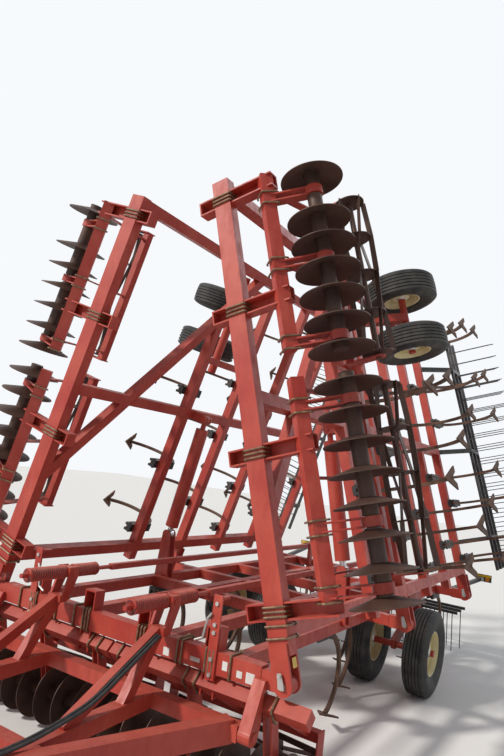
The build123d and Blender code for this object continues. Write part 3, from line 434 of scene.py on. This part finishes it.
for side, s in SIDES:
    bm = bmesh.new()
    for t in BRACKETS_T:
        for dt in BAND_SPREAD:
            u_bolt(bm, wing(s), t + dt)
    for t in SINGLE_BANDS_T:
        u_bolt(bm, wing(s), t)
    for t in HANGERS:
        for dt in BEAM_BOLT_SPREAD:
            beam_bolt(bm, wing(s), t - HANGER_BACK + dt, BEAM_DROP)
    piece("wing_u_bolts_" + side, bm, "wing_" + side, plate_looks["brown"])

    bm = bmesh.new()
    for y, places in zip(SHANK_ROWS, WING_SHANKS):
        for t in places:
            mount_bolts(bm, wing(s), t, y)
    piece("wing_mount_bolts_" + side, bm, "wing_" + side, plate_looks["dark"])

    bm = bmesh.new()
    for y in HINGE_ROWS:
        front = y - 0.025
        outline = [(-0.022, -0.018), (0.020, -0.022), (0.085, -0.014), (0.085, 0.016), (-0.010, 0.024)]
        polygon(bm, wing(s), outline, front - 0.018, front - 0.010)
        prism(bm, wing(s), (0.068, front - 0.018, 0.0), (0, -1, 0), 0.015, 0.010)
        prism(bm, wing(s), (0.068, front, 0.0), (0, -1, 0), 0.010, 0.012, 12)
    piece("wing_pin_plates_" + side, bm, "wing_" + side, plate_looks["zinc"])


# The centre's bolts, the lock bar on its post plate, and the bare plates on the front tube

centre = machine(0, HINGE_Z)
bm = bmesh.new()
for s in (-1, 1):
    for x in CENTRE_BRACKETS_X:
        for dx in BAND_SPREAD:
            u_bolt(bm, centre, s * x + dx)
    for x in SINGLE_BANDS_X:
        u_bolt(bm, centre, s * x)
    for x in CENTRE_HANGERS:
        for dx in BEAM_BOLT_SPREAD:
            beam_bolt(bm, centre, s * (x - HANGER_BACK) + dx, CENTRE_BEAM_DROP)
for y, places in zip(SHANK_ROWS, CENTRE_SHANKS):
    for x in {s * x for x in places for s in (-1, 1)}:
        mount_bolts(bm, centre, x, y)
piece("centre_bolts", bm, "centre", plate_looks["brown"])

bm = bmesh.new()
for s in (-1, 1):
    post = machine(s * POST_X, HINGE_Z)
    for z in POST_BOLTS_Z:
        prism(bm, post, (0, -POST_T, z), (0, -1, 0), 0.016, 0.012)
    bar(bm, post, [(-s * 0.030, -0.026, 0.330), (-s * 0.060, -0.030, 0.290), (-s * 0.085, -0.030, 0.150),
                   (-s * 0.150, -0.030, 0.120)], LOCK_BAR_R)
piece("post_bolts", bm, "centre", plate_looks["zinc"])

bm = bmesh.new()
for x0, x1, z0, z1 in BARE_PLATES:
    box(bm, centre, (x0, -PLATE_T, z0), (x1, 0.0, z1))
piece("centre_bare_plates", bm, "centre", plate_looks["white"])

bm = bmesh.new()
x0, x1, z0, z1 = BARE_TAG
box(bm, centre, (x0, -PLATE_T, z0), (x1, 0.0, z1))
piece("centre_bare_tag", bm, "centre", plate_looks["zinc"])

for side, s in SIDES:
    bm = bmesh.new()
    box(bm, wing(s), (0.100, 0.022, -FRONT_H / 2 - PLATE_T), (0.165, 0.080, -FRONT_H / 2))
    piece("wing_reflector_" + side, bm, "wing_" + side, plate_looks["yellow"])


# Springs wound round the levelling rods, with a cap at each end and a dark sleeve inside each spring as
# painted shade between the coils

def helix(bm, middle, start, turns):
    """A spring's wire, wound along Y from the start."""
    points = []
    for i in range(turns * COIL_STEPS + 1):
        a = 2 * pi * i / COIL_STEPS
        points.append((COIL_R * cos(a), start + SPRING_PITCH * i / COIL_STEPS, COIL_R * sin(a)))
    bar(bm, middle, points, COIL_WIRE_R)


bm_coils, bm_caps, bm_shade_sleeves = bmesh.new(), bmesh.new(), bmesh.new()
for s in (-1, 1):
    rod = Matrix.Translation((s * ROD_X, FRONT_Y + ROD_Y, ROD_Z))
    ahead = -SPRING_END - SPRING_TURNS[0] * SPRING_PITCH
    for start, turns in ((ahead, SPRING_TURNS[0]), (SPRING_END, SPRING_TURNS[1])):
        length = turns * SPRING_PITCH
        helix(bm_coils, rod, start, turns)
        # A dark sleeve under the coils: painted shade in the gaps between them, not a real part
        prism(bm_shade_sleeves, rod, (0, start, 0), (0, 1, 0), SHADE_SLEEVE_R, length, 40)
        for y in (start + CAP_IN, start + length - CAP_T - CAP_IN):
            prism(bm_caps, rod, (0, y, 0), (0, 1, 0), CAP_R, CAP_T, 24)
# The dark sleeves are painted shade for the gaps between the coils
piece("rod_spring_painted_shade", bm_shade_sleeves, "levelling_rods", looks["black_paint"])
piece("rod_springs", bm_coils, "levelling_rods", looks["red_paint"], smooth=True)
piece("rod_caps", bm_caps, "levelling_rods", looks["red_paint"])


# Wheels: ribbed tyres in place of the plain ones, wheel bolts and hub caps

def ribbed_tyre(bm, place, size, ribs):
    """A tyre turned about X: sidewalls in shares of the half width, and ribs with grooves between."""
    r, w, rim = size
    wall = r - rim
    side = [(-0.72, rim), (-0.80, rim + 0.012), (-0.90, rim + 0.25 * wall), (-0.985, rim + 0.45 * wall),
            (-1.0, rim + 0.58 * wall), (-0.96, rim + 0.72 * wall), (-0.90, rim + 0.82 * wall),
            (-0.86, rim + 0.88 * wall), (-0.80, r - 0.014)]
    tread = []
    span = 1.56 / ribs
    for i in range(ribs):
        left = -0.78 + i * span
        crown = 0.008 * ((i + 0.5) / ribs * 2 - 1) ** 2
        tread += [(left + 0.02, r - crown), (left + span - 0.055, r - crown)]
        if i < ribs - 1:
            tread += [(left + span - 0.035, r - crown - 0.014), (left + span, r - crown - 0.014)]
    outline = side + tread + [(-x, y) for x, y in reversed(side)]
    steps = 72
    rings = []
    for i in range(steps):
        a = 2 * pi * i / steps
        rings.append([bm.verts.new(place @ Vector((x * w, y * cos(a), y * sin(a)))) for x, y in outline])
    for i in range(steps):
        a, b = rings[i], rings[(i + 1) % steps]
        for k in range(len(outline)):
            n = (k + 1) % len(outline)
            bm.faces.new((a[k], a[n], b[n], b[k]))


def wheel_trim(bm, place, radius, count, out):
    """Wheel bolts and a hub cap on both faces; out holds the two faces' places along X."""
    for s, x in zip((-1, 1), out):
        for i in range(count):
            a = 2 * pi * (i + 0.5) / count
            prism(bm, place, (s * x, radius * cos(a), radius * sin(a)), (s, 0, 0), 0.013, 0.014)
        prism(bm, place, (s * 0.060, 0, 0), (s, 0, 0), 0.052, 0.020, 20, 0.82)


for side, s in SIDES:
    hubs = [(Matrix.Translation((s * x, FRONT_Y + AXLE_Y, BIG_TYRE[0])), BIG_TYRE) for x in WHEELS_X]
    wing_hubs = [(wing(s) @ Matrix.Translation((t, WING_AXLE_Y, WING_TYRE[0] - HINGE_Z)), WING_TYRE)
                 for t in WING_WHEELS_T]
    groups = (("wheel", "wheels_" + side, hubs), ("wing", "wing_wheels_" + side, wing_hubs))
    for group, body, places in groups:
        bm = bmesh.new()
        for place, size in places:
            ribbed_tyre(bm, place, size, 6)
        tyres = piece(group + "_ribbed_tyres_" + side, bm, body, looks["tyre_rubber"])
        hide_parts(group + "_tyres_" + side)
        bm = bmesh.new()
        for place, size in places:
            wheel_trim(bm, place, 0.085, 8, (0.038, 0.030))
        piece(group + "_bolts_" + side, bm, body, plate_looks["zinc"])


# Lamp plates: strip, bare plate and lens towards the front as well

bm_strip, bm_bare, bm_lens = bmesh.new(), bmesh.new(), bmesh.new()
for s in (-1, 1):
    place = Matrix.Translation((s * LAMP_X, FRONT_Y + LAMP_Y, LAMP_Z))
    box(bm_strip, place, (-0.108, -0.003, 0.014), (0.108, 0.0, 0.048))
    box(bm_bare, place, (-0.108, -0.003, -0.048), (0.0, 0.0, 0.004))
    prism(bm_lens, place, (s * 0.055, 0.0, -0.018), (0, -1, 0), 0.034, 0.022, 24, 0.85)
piece("lamp_strips", bm_strip, "centre", plate_looks["yellow"])
piece("lamp_bare_plates", bm_bare, "centre", plate_looks["white"])
piece("lamp_front_lenses", bm_lens, "centre", looks["amber_lens"])


# The two hoses along the tongue's left tube and up its tower

def tongue_point(y):
    """The middle of the tongue's left long tube at this y, in metres."""
    (x0, y0, z0), (x1, y1, z1) = TONGUE_TUBE
    share = (y0 - y) / (y0 - y1)
    return x0 - share * (x0 - x1), z0 - share * (z0 - z1)


for i, name in enumerate(("hose_inner", "hose_outer")):
    beside = (i - 0.5) * 0.030
    route = []
    for y, sway in ((-2.3, 0.0), (-1.9, 0.010), (-1.5, 0.0)):
        x, z = tongue_point(y)
        route.append((x + beside + sway, y, z + 0.0882))
    x = 0.616 + beside
    route += [(x - 0.004, -1.23, 0.760), (x, -1.0, 0.800), (x, -0.760, 0.852), (x, -0.480, 1.010),
              (x, -0.190, 1.165)]
    route = [Vector(p) + Vector((0, FRONT_Y, 0)) for p in route]
    curve = bpy.data.curves.new(name, "CURVE")
    curve.dimensions = "3D"
    spline = curve.splines.new("NURBS")
    spline.points.add(len(route) - 1)
    for point, p in zip(spline.points, route):
        point.co = (*p, 1)
    spline.order_u = 3
    spline.use_endpoint_u = True
    spline.resolution_u = 12
    curve.bevel_depth = HOSE_R
    curve.bevel_resolution = 3
    curve.use_fill_caps = True
    hose = bpy.data.objects.new(name, curve)
    scene.collection.objects.link(hose)
    curve.materials.append(looks["hose_rubber"])
    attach(hose, "tongue")
    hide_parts("tongue_hoses")


# Floor, world and lamps

floor_mat, floor_tree, floor_shader = new_material("floor")
floor_shader.inputs["Base Color"].default_value = (0.78, 0.77, 0.75, 1)
floor_shader.inputs["Roughness"].default_value = 0.9
floor_mesh = bpy.data.meshes.new("floor")
corners = [(x * FLOOR_REACH, y * FLOOR_REACH, 0) for x, y in ((-1, -1), (1, -1), (1, 1), (-1, 1))]
floor_mesh.from_pydata(corners, [], [(0, 1, 2, 3)])
floor = bpy.data.objects.new("floor", floor_mesh)
floor_mesh.materials.append(floor_mat)
scene.collection.objects.link(floor)

world = bpy.data.worlds.new("world")
scene.world = world
world.use_nodes = True
wt = world.node_tree
back = wt.nodes["Background"]
back.inputs["Color"].default_value = (0.86, 0.90, 0.96, 1)
back.inputs["Strength"].default_value = 0.4
white = wt.nodes.new("ShaderNodeBackground")
white.inputs["Color"].default_value = (0.93, 0.95, 0.98, 1)
white.inputs["Strength"].default_value = 1.0
path = wt.nodes.new("ShaderNodeLightPath")
seen = wt.nodes.new("ShaderNodeMath")
seen.operation = "MAXIMUM"
link(wt, path, "Is Camera Ray", seen, 0)
link(wt, path, "Is Glossy Ray", seen, 1)
seen2 = wt.nodes.new("ShaderNodeMath")
seen2.operation = "MAXIMUM"
link(wt, seen, "Value", seen2, 0)
link(wt, path, "Is Transmission Ray", seen2, 1)
choose = wt.nodes.new("ShaderNodeMixShader")
link(wt, seen2, "Value", choose, "Fac")
wt.links.new(back.outputs[0], choose.inputs[1])
wt.links.new(white.outputs[0], choose.inputs[2])
wt.links.new(choose.outputs[0], wt.nodes["World Output"].inputs["Surface"])


def soft_sun(name, toward, power, spread, colour=(1, 1, 1)):
    data = bpy.data.lights.new(name, "SUN")
    data.energy = power
    data.angle = spread
    data.color = colour
    lamp = bpy.data.objects.new(name, data)
    scene.collection.objects.link(lamp)
    lamp.matrix_world = Vector(toward).to_track_quat("-Z", "Y").to_matrix().to_4x4()


soft_sun("key", (7.5, 11.0, -9.5), 3.0, radians(5), (1.0, 0.96, 0.90))
soft_sun("rear", (-3.0, -12.0, -8.0), 0.55, radians(30), (0.93, 0.96, 1.0))
